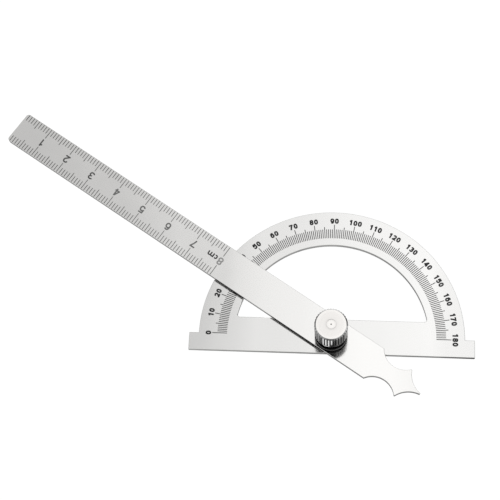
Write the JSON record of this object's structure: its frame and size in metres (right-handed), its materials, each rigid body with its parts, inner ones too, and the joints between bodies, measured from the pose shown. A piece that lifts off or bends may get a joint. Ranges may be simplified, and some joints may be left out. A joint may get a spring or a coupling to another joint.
{
  "type": "angle finder",
  "caption": "Flat steel angle finder: semicircular protractor plate with a D-shaped window and a swinging ruler arm clamped by a knurled thumb nut on its pivot.",
  "frame": {"origin": "on the pivot axis, at the level of the plate's flat back", "axes": "+Z out of the back towards the thumb nut, +X along the base bar towards the 180 degree end, +Y towards the 90 degree mark"},
  "size_m": [0.1466, 0.0878, 0.0139],
  "materials": {
    "plate_steel": "satin stainless steel, finely brushed, with black etched degree marks",
    "arm_steel": "satin stainless steel with dark grey etched centimetre and millimetre marks",
    "stud_steel": "turned steel",
    "washer_steel": "dull stamped steel",
    "nut_plated": "plated, with a turned top face and a straight knurl"
  },
  "bodies": {
    "plate": {"protractor_plate": "plate_steel", "pivot_stud": "stud_steel", "friction_washer": "washer_steel"},
    "arm": {"ruler_arm": "arm_steel"},
    "washer": {"nut_washer": "washer_steel"},
    "nut": {"knurled_nut": "nut_plated"}
  },
  "joints": [
    {"name": "arm_swing", "type": "hinge", "parent": "plate", "child": "arm", "pos_m": [0, 0, 0.00255], "axis": [0, 0, 1], "continuous": true},
    {"name": "nut_spin", "type": "hinge", "parent": "plate", "child": "washer", "pos_m": [0, 0, 0.0035], "axis": [0, 0, 1], "range_deg": [0, 3240]},
    {"name": "nut_lift", "type": "slide", "parent": "washer", "child": "nut", "axis": [0, 0, 1], "range_m": [0, 0.0063]}
  ],
  "couplings": [
    {"joint": "nut_spin", "follows": "nut_lift", "rad_per_m": 8976}
  ]
}
